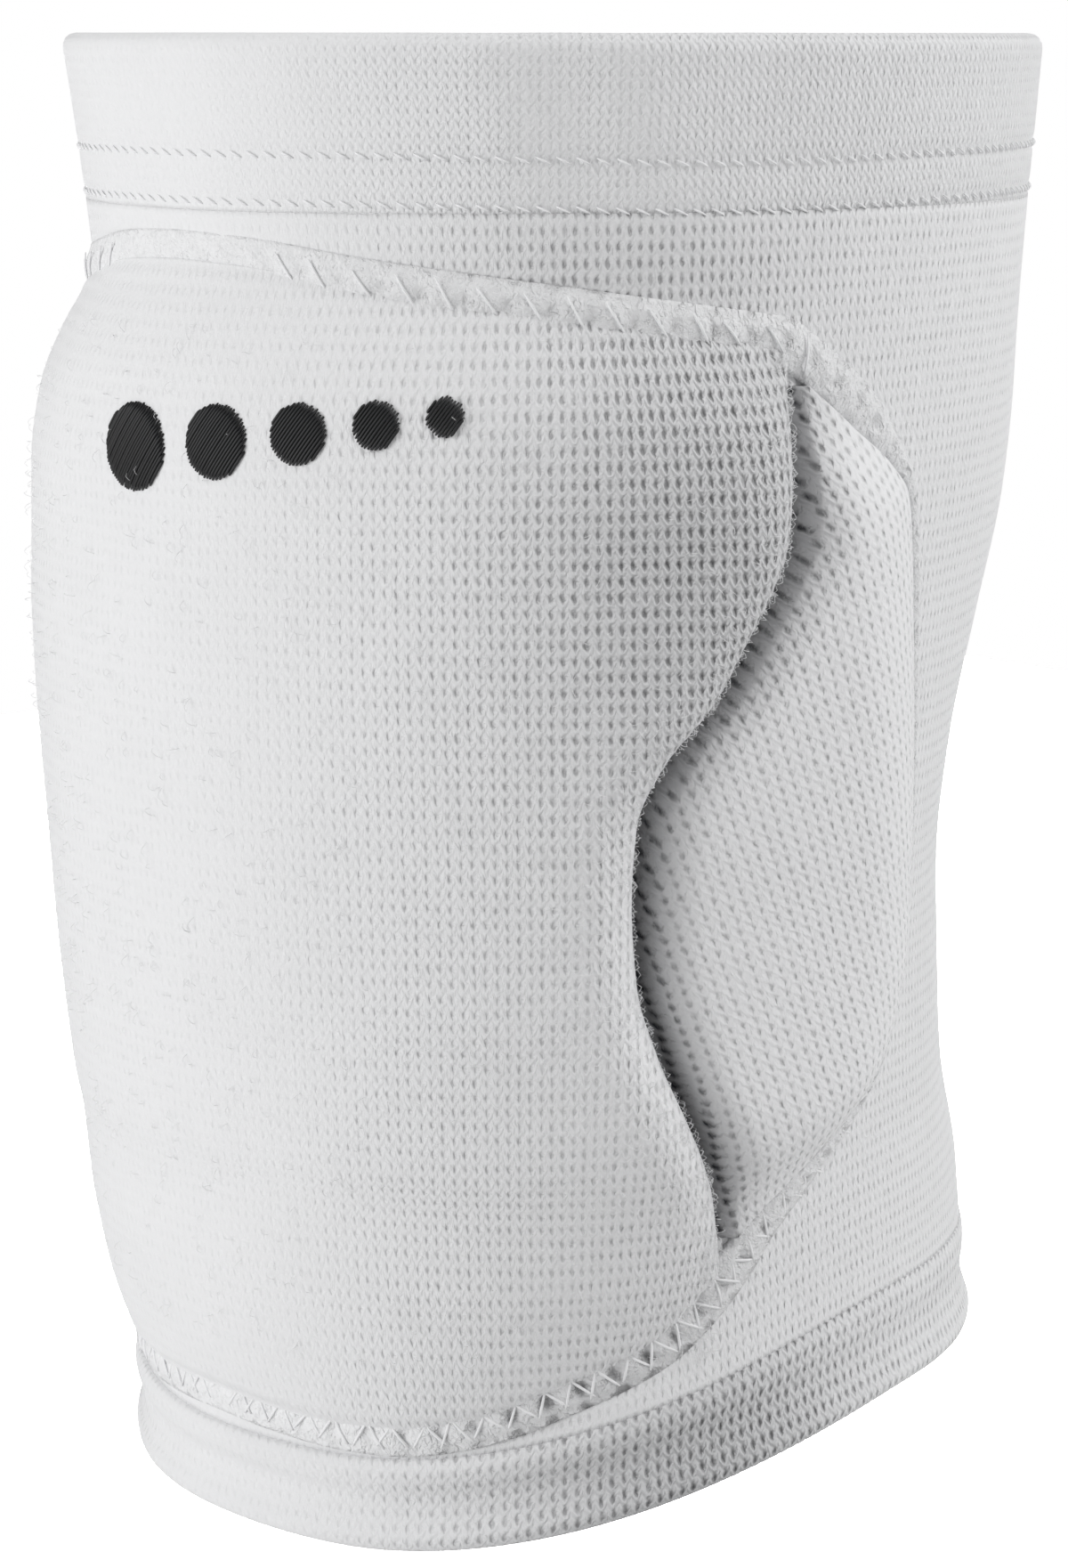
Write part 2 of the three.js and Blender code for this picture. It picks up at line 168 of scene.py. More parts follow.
def curve(columns, key, column):
    """Smooth curve through a table's rows, with no overshoot between them."""
    x = columns[key]
    y = columns[column]
    rise = np.diff(y) / np.diff(x)
    before = np.concatenate([rise[:1], rise])
    after = np.concatenate([rise, rise[-1:]])
    both = before * after
    total = np.where(both > 0, before + after, 1)
    slope = np.where(both > 0, 2 * both / total, 0)

    def value(at):
        at = np.clip(at, x[0], x[-1])
        i = np.clip(np.searchsorted(x, at) - 1, 0, len(rise) - 1)
        span = x[i + 1] - x[i]
        t = (at - x[i]) / span
        bend = t * t * (3 - 2 * t)
        pull = (1 - t) * slope[i] - t * slope[i + 1]
        return y[i] * (1 - bend) + y[i + 1] * bend + span * t * (1 - t) * pull

    return value


section_width = curve(SECTIONS, "down", "width")
section_front = curve(SECTIONS, "down", "front")
section_back = curve(SECTIONS, "down", "back")
top_at = curve(TOP_SEAM, "angle", "down")
side_at = curve(SIDE_SEAM, "down", "angle")
bottom_at = curve(BOTTOM_SEAM, "angle", "down")
crease_at = curve(CREASE, "down", "angle")
pad_height = curve(PAD_PROFILE, "along", "height")
hem_ridge = curve(HEM_PROFILE, "along", "ridge")
hem_flare = curve(HEM_PROFILE, "along", "flare")
band_height = curve(BAND_PROFILE, "across", "height")

COVER_TOP = UPPER_HEM_HEIGHT + COVER_DROP + BAND_WIDTH / 2
COVER_BOTTOM = SLEEVE_LENGTH - LOWER_HEM_HEIGHT - COVER_MARGIN - BAND_WIDTH / 2
COVER_LENGTH = COVER_BOTTOM - COVER_TOP


def on_cover(fraction):
    """Distance below the rim at a share of the padded cover's length."""
    return COVER_TOP + fraction * COVER_LENGTH


def cover_share(down):
    return (down - COVER_TOP) / COVER_LENGTH


def share(value, low, high):
    """How far value has come from low to high, from 0 to 1."""
    return np.clip((value - low) / (high - low), 0, 1)


def smooth(value, low, high):
    t = share(value, low, high)
    return t * t * (3 - 2 * t)


def round_of(angle):
    """Millimetres round the knee for degrees."""
    return np.radians(angle) * KNEE_WIDTH / 2


def angle_of(distance):
    return np.degrees(distance / (KNEE_WIDTH / 2))


def from_front(angle):
    """Degrees from the front of the knee, whichever way round."""
    return np.abs((angle + 180) % 360 - 180)


def section_point(angle, down):
    """A point of the bare sleeve's outside."""
    at = down / SLEEVE_LENGTH
    sine = np.sin(np.radians(angle))
    cosine = np.cos(np.radians(angle))
    depth = np.where(cosine > 0, section_front(at), section_back(at))
    across = sine / (section_width(at) * KNEE_WIDTH / 2)
    along = cosine / (depth * KNEE_DEPTH)
    radius = 1 / np.hypot(across, along)
    height = np.broadcast_to(KNEE_DROP - down, radius.shape)
    return np.stack([radius * sine, -radius * cosine, height], -1)


def unit(vectors):
    return vectors / np.linalg.norm(vectors, axis=-1, keepdims=True)


NORMAL_TURN = 0.6
NORMAL_DROP = 0.5


def surface_normal(angle, down):
    """Outward direction, from neighbours some degrees and millimetres away."""
    turn = section_point(angle + NORMAL_TURN, down) - section_point(angle - NORMAL_TURN, down)
    drop = section_point(angle, down + NORMAL_DROP) - section_point(angle, down - NORMAL_DROP)
    return unit(np.cross(drop, turn))


def sleeve_point(angle, down, lift):
    """A point at a height over the bare sleeve, along its normal."""
    angle, down, lift = np.broadcast_arrays(angle, down, lift)
    return section_point(angle, down) + surface_normal(angle, down) * lift[..., None]


def back_share(angle):
    """How far the calf's hem has risen towards the back, from 0 to 1."""
    return (1 - np.cos(np.pi * share(from_front(angle), RISE_START, RISE_END))) / 2


def rim_down(angle):
    return SLEEVE_LENGTH - BACK_RISE * back_share(angle)


def lower_hem_down(angle):
    return rim_down(angle) - LOWER_HEM_HEIGHT - LOWER_HEM_EXTRA * back_share(angle)


def band_width_at(fraction):
    narrow = share(fraction, NARROW_BAND["begins"], NARROW_BAND["full"])
    narrow = narrow * share(fraction, NARROW_BAND["wide"], NARROW_BAND["ends"])
    return BAND_WIDTH + (SIDE_BAND_WIDTH - BAND_WIDTH) * narrow


# Wear: slow unevenness, ripples at the thigh end, and loops that stand open, with painted shade
# where they do
CLOTH_SOFTNESS = 0.3
PAD_SOFTNESS = 0.22
WING_SOFTNESS = 0.25
RIPPLES = table("angle width height", [(40, 4, 0.35), (49, 4, -0.5), (58, 5, 0.4), (72, 6, -0.4)])
RIPPLE_LEAN = 0.15
RIPPLES_FULL, RIPPLES_END = 8, 34
SLACK_LEAST = 0.2
SLACK_BEGINS, SLACK_FULL = 16, 58
BAND_FLATTEST = 0.4
BAND_RISES, BAND_FULL = 2, 32

# Loose zones on both flanks, where the loops stand open under painted shade: degrees, millimetres
# down, and how far each way they reach
LOOSE_AND_SHADED = {
    "pad": {"angle": 63, "down": 60, "wide": 17, "tall": 30},
    "sleeve": {"angle": 56, "down": 30, "wide": 20, "tall": 9},
    "lower seam": {"angle": 54, "down": 180, "wide": 18, "tall": 30},
    "lower hem": {"angle": 70, "down": 193, "wide": 24, "tall": 20},
}


def softness(angle, down):
    """Slow unevenness of worn knit, from -1 to 1."""
    a = np.radians(angle)
    wave = np.sin(3 * a + 0.051 * down + 0.7) + np.sin(7 * a - 0.083 * down + 2.1)
    return (wave + np.sin(11 * a + 0.127 * down + 4.0)) / 3


def ripples(angle, down):
    """Soft upright ripples of the thigh end, on both flanks."""
    rise = 0
    for at, width, height in zip(*RIPPLES.values()):
        away = (from_front(angle) - at - RIPPLE_LEAN * down) / width
        rise = rise + height * np.exp(-(away**2))
    return rise * smooth(down, RIPPLES_END, RIPPLES_FULL)


def wear(angle, down):
    """Height that wear adds to the sleeve and to all that lies on it."""
    return CLOTH_SOFTNESS * softness(angle, down) + ripples(angle, down)


def slackness(angle):
    """How open the knit is. It is stretched flat over the front of the knee."""
    return SLACK_LEAST + (1 - SLACK_LEAST) * smooth(from_front(angle), SLACK_BEGINS, SLACK_FULL)


def openness_and_shade(zone, angle, down):
    """How open the loops stand near a loose zone, and how strong the painted shade is there, from 0
    to 1.
    """
    at = LOOSE_AND_SHADED[zone]
    across = (from_front(angle) - at["angle"]) / at["wide"]
    along = (down - at["down"]) / at["tall"]
    return np.exp(-(across**2) - along**2)


def band_share(angle):
    """How high the seam's band stands. It lies flattest over the front of the knee."""
    return BAND_FLATTEST + (1 - BAND_FLATTEST) * smooth(from_front(angle), BAND_RISES, BAND_FULL)


def holes(u, v):
    """Depth of the hole between four loops, from 0 to 1. One lies at each whole u and v."""
    across = np.clip(np.cos(2 * np.pi * u), 0, 1)
    down = np.clip(np.cos(2 * np.pi * v), 0, 1)
    return across**2.2 * down**1.3


def knit_relief(knit, u, v):
    """Height of the loops over the knit's even surface, and of the holes below it."""
    return knit["depth"] * (knit["level"] - holes(u, v))


# Meshes


def closed_mesh(name, vertices, loops, starts, uv, material, open_and_shaded=None):
    """A mesh from its corner list, turned so that its faces look outwards."""
    mesh = bpy.data.meshes.new(name)
    mesh.vertices.add(len(vertices))
    mesh.vertices.foreach_set("co", (vertices * MM).astype(np.float32).ravel())
    mesh.loops.add(len(loops))
    mesh.loops.foreach_set("vertex_index", loops.astype(np.int32))
    mesh.polygons.add(len(starts))
    mesh.polygons.foreach_set("loop_start", starts.astype(np.int32))
    mesh.polygons.foreach_set("use_smooth", np.ones(len(starts), bool))
    if uv is not None:
        layer = mesh.uv_layers.new(name="knit")
        layer.data.foreach_set("uv", uv.astype(np.float32).ravel())
    # How open the loops stand, which also sets the material's painted shade
    if open_and_shaded is not None:
        layer = mesh.attributes.new("open_and_shaded", "FLOAT", "POINT")
        layer.data.foreach_set("value", open_and_shaded.astype(np.float32))
    mesh.update(calc_edges=True)
    mesh.validate()
    centres = np.zeros(3 * len(starts), np.float32)
    normals = np.zeros(3 * len(starts), np.float32)
    areas = np.zeros(len(starts), np.float32)
    mesh.polygons.foreach_get("center", centres)
    mesh.polygons.foreach_get("normal", normals)
    mesh.polygons.foreach_get("area", areas)
    flow = (centres * normals).reshape(-1, 3).sum(1) * areas
    if flow.sum() < 0:
        mesh.flip_normals()
    mesh.materials.append(material)
    piece = bpy.data.objects.new(name, mesh)
    bpy.context.scene.collection.objects.link(piece)
    return piece


def run(a, b):
    """Whole numbers from a towards b, without b."""
    return range(a, b, 1 if b > a else -1)


def shell(name, outer, inner, u, v, stride, material, wrap=False, open_and_shaded=0.0):
    """A closed wall. Its outside is a fine grid, its inside a coarse one of the same border."""
    rows, columns = outer.shape[:2]
    across = columns if wrap else columns - 1
    last = rows - 1
    end = columns - 1
    i, j = np.meshgrid(np.arange(across), np.arange(last))
    i, j = i.ravel(), j.ravel()
    corners_i = np.stack([i, i, i + 1, i + 1], 1)
    corners_j = np.stack([j, j + 1, j + 1, j], 1)
    quads = corners_j * columns + corners_i % columns
    inside = rows * columns

    faces = []
    stops_i = list(range(0, across, stride)) + [across]
    stops_j = list(range(0, last, stride)) + [last]
    for a, b in zip(stops_i[:-1], stops_i[1:]):
        for c, d in zip(stops_j[:-1], stops_j[1:]):
            ring = []
            ring += [(k, c) for k in run(a, b)] if c == 0 else [(a, c)]
            ring += [(b, k) for k in run(c, d)] if b == across and not wrap else [(b, c)]
            ring += [(k, d) for k in run(b, a)] if d == last else [(b, d)]
            ring += [(a, k) for k in run(d, c)] if a == 0 and not wrap else [(a, d)]
            faces.append([(x, y, inside) for x, y in ring])
    for k in range(across):
        faces.append([(k, 0, 0), (k + 1, 0, 0), (k + 1, 0, inside), (k, 0, inside)])
        faces.append([(k + 1, last, 0), (k, last, 0), (k, last, inside), (k + 1, last, inside)])
    if not wrap:
        for k in range(last):
            faces.append([(0, k + 1, 0), (0, k, 0), (0, k, inside), (0, k + 1, inside)])
            faces.append([(end, k, 0), (end, k + 1, 0), (end, k + 1, inside), (end, k, inside)])
    flat = np.array([corner for face in faces for corner in face])
    sizes = np.array([len(face) for face in faces])

    columns_of = np.concatenate([corners_i.ravel(), flat[:, 0]])
    rows_of = np.concatenate([corners_j.ravel(), flat[:, 1]])
    step_u = u[0, 1] - u[0, 0] if wrap else 0
    turned_u = u[rows_of, columns_of % columns] + (columns_of >= columns) * columns * step_u
    uv = np.stack([turned_u, v[rows_of, columns_of % columns]], 1)
    rest = flat[:, 1] * columns + flat[:, 0] % columns + flat[:, 2]
    loops = np.concatenate([quads.ravel(), rest])
    rest_starts = quads.size + np.concatenate([[0], np.cumsum(sizes)[:-1]])
    starts = np.concatenate([np.arange(len(quads)) * 4, rest_starts])
    used, loops = np.unique(loops, return_inverse=True)
    vertices = np.concatenate([outer.reshape(-1, 3), inner.reshape(-1, 3)])[used]
    open_and_shaded = np.tile((open_and_shaded * np.ones((rows, columns))).ravel(), 2)[used]
    return closed_mesh(name, vertices, loops.ravel(), starts, uv, material, open_and_shaded)


THREAD_SIDES = 6
THREAD_TAPER = 0.55


def tubes(name, centres, normals, radius, sides, material):
    """Many short threads. centres and normals are arrays of thread, point and axis."""
    count, points = centres.shape[:2]
    along = unit(np.gradient(centres, axis=1))
    side = unit(np.cross(along, normals))
    up = np.cross(side, along)
    turn = 2 * np.pi * np.arange(sides) / sides
    thin = np.ones(points)
    thin[[0, -1]] = THREAD_TAPER
    ring = up[:, :, None] * np.cos(turn)[:, None] + side[:, :, None] * np.sin(turn)[:, None]
    vertices = centres[:, :, None] + radius * thin[:, None, None] * ring
    t, p, s = np.meshgrid(np.arange(count), np.arange(points - 1), np.arange(sides), indexing="ij")
    here = (t * points + p) * sides
    ahead = here + sides
    beside = (s + 1) % sides
    quads = np.stack([here + s, here + beside, ahead + beside, ahead + s], -1).reshape(-1, 4)
    first = np.arange(count)[:, None] * points * sides
    starts_cap = first + np.arange(sides)[::-1]
    ends_cap = first + (points - 1) * sides + np.arange(sides)
    loops = np.concatenate([quads.ravel(), starts_cap.ravel(), ends_cap.ravel()])
    cap_starts = quads.size + np.arange(2 * count) * sides
    starts = np.concatenate([np.arange(len(quads)) * 4, cap_starts])
    return closed_mesh(name, vertices.reshape(-1, 3), loops, starts, None, material)


# Materials

# Grain of the knit's noise over a metre: single fibres, patches of loops and large clouds
FIBRE_GRAIN = 1700
PATCH_GRAIN = 520
CLOUD_GRAIN = 90
CLOUD_DARKENING = 0.05

# Drawn loops, in shares of a loop: how far they wander, half a hole, and the slant of the legs
FIBRE_WANDER = 0.3
PATCH_WANDER = 0.35
HOLE_HALF_WIDTH = 0.15
HOLE_HALF_HEIGHT = 0.29
LEG_SLANT = 1.1
# Colour of the painted shade in the holes
HOLE_SHADE_COLOUR = (0.06, 0.062, 0.07)

# Strength of the holes in a patch and their least, and streaks of fibre across and along a loop
HOLE_PATCHES = (1.8, 0.1)
STREAKS = (7, 2.5)

# Sine of the angle from the front where the drawn loops begin to open, and where they are open
OPENING_SINES = (0.24, 0.86)

# Each knit's white, painted shade in its holes, depth in millimetres, strength of the loops' legs
# and of the fibres, how much wider the holes are where the loops stand open, and painted shade
# there
KNIT_COLUMNS = "white shade depth legs fuzz wider veil"
KNITS = {
    "pad_knit": (0.81, 0.18, 0.26, 0.55, 0.6, 1.9, 0.19),
    "wing_knit": (0.81, 0.18, 0.2, 0.4, 0.6, 1.8, 0.4),
    "sleeve_knit": (0.82, 0.12, 0.18, 0.4, 0.8, 1.5, 0.08),
    "upper_hem_knit": (0.82, 0.08, 0.17, 0.8, 0.9, 0, 0),
    "lower_hem_knit": (0.8, 0.18, 0.26, 0.6, 0.6, 1.6, 0.33),
    "band_knit": (0.82, 0.12, 0.3, 0.3, 1.6, 3.5, 0.12),
}


def math_node(nodes, links, operation, *values):
    """The output of one math node. Each value is a number or another node's output."""
    node = nodes.new("ShaderNodeMath")
    node.operation = operation
    for socket, value in zip(node.inputs, values):
        if isinstance(value, bpy.types.NodeSocket):
            links.new(value, socket)
        else:
            socket.default_value = value
    return node.outputs[0]


def knit_material(name, white, shade, depth, legs, fuzz, wider, veil):
    """Knit drawn on the loops' own coordinates, with fibres in its threads, and painted shade in
    its holes and where its loops stand open.
    """
    material = bpy.data.materials.new(name)
    material.use_nodes = True
    nodes = material.node_tree.nodes
    links = material.node_tree.links
    surface = nodes["Principled BSDF"]

    def do(operation, *values):
        return math_node(nodes, links, operation, *values)

    def parts_of(vector):
        split = nodes.new("ShaderNodeSeparateXYZ")
        links.new(vector, split.inputs[0])
        return split.outputs

    def noise(vector, scale, detail):
        texture = nodes.new("ShaderNodeTexNoise")
        texture.inputs["Scale"].default_value = scale
        texture.inputs["Detail"].default_value = detail
        links.new(vector, texture.inputs["Vector"])
        return texture.outputs[0]

    def off_whole(value):
        """Distance to the nearest whole number."""
        return do("ABSOLUTE", do("SUBTRACT", do("FRACT", do("ADD", value, 0.5)), 0.5))

    knit_uv = nodes.new("ShaderNodeUVMap")
    knit_uv.uv_map = "knit"
    place = nodes.new("ShaderNodeTexCoord").outputs["Object"]
    strands = noise(place, FIBRE_GRAIN, 3)
    clouds = noise(place, CLOUD_GRAIN, 2)
    patches = noise(place, PATCH_GRAIN, 1)

    loops = parts_of(knit_uv.outputs["UV"])
    uneven = do("MULTIPLY", do("SUBTRACT", strands, 0.5), FIBRE_WANDER)
    shifted = do("MULTIPLY", do("SUBTRACT", patches, 0.5), PATCH_WANDER)
    u = do("ADD", loops[0], do("ADD", uneven, shifted))
    v = do("ADD", loops[1], uneven)
    off_u = off_whole(u)
    far_u = do("POWER", do("DIVIDE", off_u, HOLE_HALF_WIDTH), 2)
    far_v = do("POWER", do("DIVIDE", off_whole(v), HOLE_HALF_HEIGHT), 2)
    hole = do("EXPONENT", do("MULTIPLY", do("ADD", far_u, far_v), -1))
    hole = do("MULTIPLY", hole, do("MULTIPLY_ADD", patches, *HOLE_PATCHES))
    slant = do("ADD", v, do("MULTIPLY", off_u, LEG_SLANT))
    wave = do("COSINE", do("MULTIPLY", do("ADD", slant, 0.5), 2 * math.pi))
    leg = do("MULTIPLY", do("ADD", wave, 1), 0.5 * legs)
    streaked = nodes.new("ShaderNodeCombineXYZ")
    links.new(do("MULTIPLY", u, STREAKS[0]), streaked.inputs[0])
    links.new(do("MULTIPLY", slant, STREAKS[1]), streaked.inputs[1])
    streaks = noise(streaked.outputs[0], 1, 2)
    fibres = do("MULTIPLY", do("ADD", strands, streaks), fuzz)

    # The knit is flat over the front of the knee and opens towards its sides, and the painted shade
    # in its holes grows with it
    knee = parts_of(place)
    side = do("ABSOLUTE", knee[0])
    reach = do("SQRT", do("ADD", do("POWER", side, 2), do("POWER", do("ABSOLUTE", knee[1]), 2)))
    slack = nodes.new("ShaderNodeMapRange")
    slack.interpolation_type = "SMOOTHSTEP"
    slack.inputs["From Min"].default_value = OPENING_SINES[0]
    slack.inputs["From Max"].default_value = OPENING_SINES[1]
    slack.inputs["To Min"].default_value = SLACK_LEAST
    links.new(do("DIVIDE", side, reach), slack.inputs["Value"])
    open_and_shaded = nodes.new("ShaderNodeAttribute")
    open_and_shaded.attribute_name = "open_and_shaded"
    # How open the loops stand here: it widens the holes and lays painted shade on the knit
    near = open_and_shaded.outputs["Fac"]
    open_here = do("MULTIPLY", slack.outputs[0], do("MULTIPLY_ADD", near, wider, 1))
    hole = do("MULTIPLY", hole, open_here)
    leg = do("MULTIPLY", leg, open_here)
    fibres = do("MULTIPLY", fibres, do("MULTIPLY_ADD", slack.outputs[0], 0.5, 0.5))

    bump = nodes.new("ShaderNodeBump")
    bump.inputs["Strength"].default_value = 1
    bump.inputs["Distance"].default_value = depth * MM
    links.new(do("ADD", do("SUBTRACT", leg, hole), fibres), bump.inputs["Height"])
    links.new(bump.outputs[0], surface.inputs["Normal"])

    # Painted shade: the holes, and the knit where its loops stand open, are darkened as if shaded;
    # the clouds are random tone
    cloudy = do("MULTIPLY", do("SUBTRACT", clouds, 0.5), CLOUD_DARKENING)
    painted_shade_and_tone = do("ADD", do("MULTIPLY", hole, shade), cloudy)
    painted_shade_and_tone = do("ADD", painted_shade_and_tone, do("MULTIPLY", near, veil))
    mix = nodes.new("ShaderNodeMix")
    mix.data_type = "RGBA"
    links.new(painted_shade_and_tone, mix.inputs[0])
    mix.inputs[6].default_value = (white, white + 0.002, white + 0.01, 1)
    mix.inputs[7].default_value = (*HOLE_SHADE_COLOUR, 1)
    links.new(mix.outputs[2], surface.inputs["Base Color"])
    surface.inputs["Roughness"].default_value = 0.92
    surface.inputs["Specular IOR Level"].default_value = 0.25
    surface.inputs["Sheen Weight"].default_value = 0.25
    return material


def plain_material(name, colour, roughness, sheen):
    material = bpy.data.materials.new(name)
    material.use_nodes = True
    surface = material.node_tree.nodes["Principled BSDF"]
    surface.inputs["Base Color"].default_value = (*colour, 1)
    surface.inputs["Roughness"].default_value = roughness
    surface.inputs["Sheen Weight"].default_value = sheen
    return material


knits = {}
for knit_name, values in KNITS.items():
    knits[knit_name] = knit_material(knit_name, **dict(zip(KNIT_COLUMNS.split(), values)))
white_thread = plain_material("white_thread", (0.84, 0.842, 0.85), 0.8, 0.2)
black_thread = plain_material("black_thread", (0.006, 0.006, 0.007), 0.5, 0.0)


def add(piece, slot, *nodes):
    """Puts a piece on the one body and hides the CAD nodes that it stands for. slot is not used."""
    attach(piece, "root")
    if nodes:
        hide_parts(*nodes)
    return piece


# Kneecap pad

# Points of the mesh for each loop, and how softly its grid bends in along the pad's border
PAD_FINENESS = 3
PAD_SIDE_BEND = 0.8
PAD_END_BEND = 0.6

# How far the cover goes on under the seam's band, and its height there as a share
PAD_TUCK = 2.3
PAD_FALL = 2.4
PAD_TUCKED_SHARE = 0.15

# The scallop's bulge over the crease, the heights over which it grows, and the distance from
# the crease over which the knit's relief begins
PAD_BULGE = 1.4
BULGE_HEIGHTS = (2, 8)
PAD_SIDE_FADE = (0.3, 2.5)

# Height of the covers' insides, as a share of their clearance
INSIDE_SEAT = 0.3


def soft_limit(value, low, high, width):
    """value held between low and high by a smooth bend of the given width."""
    value = (value + high) / 2 - np.sqrt(((value - high) / 2) ** 2 + width**2)
    return (value + low) / 2 + np.sqrt(((value - low) / 2) ** 2 + width**2)


def pad_inset(seam_at, angle):
    """Distance down from the seam's middle line to the pad, by the seam's slope."""
    here = np.minimum(np.abs(angle), CREASE["angle"][0] - 1)
    rise = (seam_at(here + 1) - seam_at(here - 1)) * COVER_LENGTH
    return (BAND_WIDTH / 2 + SEAT) * np.hypot(1, rise / round_of(2))


def round_rise(distance, width):
    """Height of a quarter round over its width, from 0 to 1."""
    left = 1 - share(distance, 0, width)
    return np.sqrt(1 - left * left)


def pad_ends(angle):
    top = on_cover(top_at(np.abs(angle))) + pad_inset(top_at, angle)
    bottom = on_cover(bottom_at(np.abs(angle))) - pad_inset(bottom_at, angle)
    return top, bottom


def pad_edge(down):
    """Angle of the pad's scalloped side."""
    return crease_at(cover_share(down)) - angle_of(CREASE_WIDTH / 2)


def pad_lift(angle, down):
    """Height of the kneecap pad's cover over the bare sleeve, and distance to its side."""
    top, bottom = pad_ends(angle)
    to_edge = round_of(pad_edge(down) - np.abs(angle))
    height = PAD_THICKNESS * pad_height(share(down, top, bottom)) - PAD_RIM
    lift = PAD_RIM + np.maximum(height, 0) * round_rise(to_edge, PAD_ROUNDOVER)
    under = smooth(down, top - PAD_FALL, top) * smooth(down, bottom + PAD_FALL, bottom)
    return SEAT + lift * (PAD_TUCKED_SHARE + (1 - PAD_TUCKED_SHARE) * under), to_edge


def pad_grid():
    """Angle and distance down of the pad's points: loops side by side, bent in at the border."""
    wale = PAD_KNIT["wale"]
    course = PAD_KNIT["course"]
    half = PAD_FINENESS * math.ceil(round_of(CREASE["angle"][0]) / wale)
    first = PAD_FINENESS * math.floor((COVER_TOP + 0.5) / course)
    last = PAD_FINENESS * math.ceil((COVER_BOTTOM - 0.5) / course)
    across = np.arange(-half, half + 1)[None, :] * wale / PAD_FINENESS
    rows = np.arange(first, last + 1)[:, None] * course / PAD_FINENESS
    across, rows = np.broadcast_arrays(across, rows)
    down = rows
    for _ in range(3):
        span = round_of(pad_edge(down))
        held = soft_limit(across, -span, span, PAD_SIDE_BEND)
        angle = angle_of(held * span / np.abs(held[:, -1:]))
        top, bottom = pad_ends(angle)
        top, bottom = top - PAD_TUCK, bottom + PAD_TUCK
        kept = soft_limit(rows, top, bottom, PAD_END_BEND)
        down = top + (bottom - top) * (kept - kept[:1]) / (kept[-1:] - kept[:1])
    return angle, down


def make_pad():
    angle, down = pad_grid()
    lift, to_edge = pad_lift(angle, down)
    u = round_of(angle) / PAD_KNIT["wale"]
    v = down / PAD_KNIT["course"]
    fade = smooth(to_edge, *PAD_SIDE_FADE)
    ribs = PAD_KNIT["ribs"] * np.cos(2 * np.pi * (v + 0.5))
    # Loops stand open here: deeper relief, and painted shade in the material
    open_and_shaded = openness_and_shade("pad", angle, down)
    relief = (knit_relief(PAD_KNIT, u, v) + ribs) * slackness(angle) * (1 + open_and_shaded)
    lift = lift + fade * (relief + PAD_SOFTNESS * softness(angle, down))
    rise = round_rise(to_edge, PAD_ROUNDOVER)
    bulge = PAD_BULGE * rise * (1 - rise) * smooth(lift, *BULGE_HEIGHTS)
    placed = angle + np.sign(angle) * angle_of(bulge)
    outer = sleeve_point(placed, down, lift)
    inner = sleeve_point(angle, down, SEAT * INSIDE_SEAT)
    pad = shell("kneecap_cover", outer, inner, u, v, 12, knits["pad_knit"], open_and_shaded=open_and_shaded)
    add(pad, "pad_cover", "kneecap_pad")


# Cover's seam and the wing pads


def half_seam(steps):
    """The seam on the +X side from the front's top to its bottom, evenly spaced, and its length."""
    top_angle = np.linspace(0, TOP_SEAM["angle"][-1], 200)
    side_down = np.linspace(SIDE_SEAM["down"][0], SIDE_SEAM["down"][-1], 200)
    bottom_angle = np.linspace(BOTTOM_SEAM["angle"][-1], 0, 200)
    angle = np.concatenate([top_angle, side_at(side_down)[1:], bottom_angle[1:]])
    down = np.concatenate([top_at(top_angle), side_down[1:], bottom_at(bottom_angle)[1:]])
    flat = np.stack([round_of(angle), down * COVER_LENGTH], 1)
    length = np.concatenate([[0], np.cumsum(np.linalg.norm(np.diff(flat, axis=0), axis=1))])
    at = np.linspace(0, length[-1], steps + 1)
    return np.interp(at, length, angle), np.interp(at, length, down), length[-1]


SEAM_ANGLE, SEAM_DOWN, HALF_LENGTH = half_seam(600)
FLANK = round_of(SEAM_ANGLE) > round_of(crease_at(SEAM_DOWN)) + CREASE_WIDTH / 2
FLANK_ROUND = round_of(SEAM_ANGLE)[FLANK]
FLANK_DOWN = on_cover(SEAM_DOWN)[FLANK]
FLANK_INSET = (band_width_at(SEAM_DOWN) / 2 + SEAT)[FLANK]

# The wing's mesh: how even its rows are, how its columns crowd at the crease, and how far its
# back goes under the band
WING_ROWS = 280
WING_COLUMNS = 140
WING_EVEN = 0.7
WING_CROWDING = 1.15
WING_TUCK = 0.8
WING_SEARCH_STEP = 0.25

# The wing's steep front: how far into its round it begins, and its width over the part's
WING_FRONT_START = 0.3
WING_FRONT_SPREAD = 1.15

# Where the wing's cloth comes down to the sleeve at its back and its front, and how low
WING_LOWEST = 0.3
WING_BACK_FALL = (-0.9, 0.6)
WING_FRONT_FALL = (0, 2.4)
WING_FRONT_LEAST = 0.2

# Loops that the crease pulls open, with painted shadow along it: strength and reach, for the wing's
# front and its very edge
CREASE_PULL_AND_SHADOW = table("strength reach", [(0.45, 5), (1.1, 1.8)])


def wing_front(down):
    """Distance round the leg of the wing's front edge, in the crease."""
    return round_of(crease_at(cover_share(down))) + CREASE_WIDTH / 2


def wing_back(down, tuck):
    """Distance round the leg of the wing's back edge. tuck takes it under the band."""
    inset = FLANK_INSET - tuck
    gap = np.abs(FLANK_DOWN[None, :] - np.ravel(down)[:, None])
    reach = np.sqrt(np.clip(inset**2 - gap**2, 0, None))
    edge = np.where(gap < inset, FLANK_ROUND - reach, np.inf)
    return edge.min(1).reshape(np.shape(down))


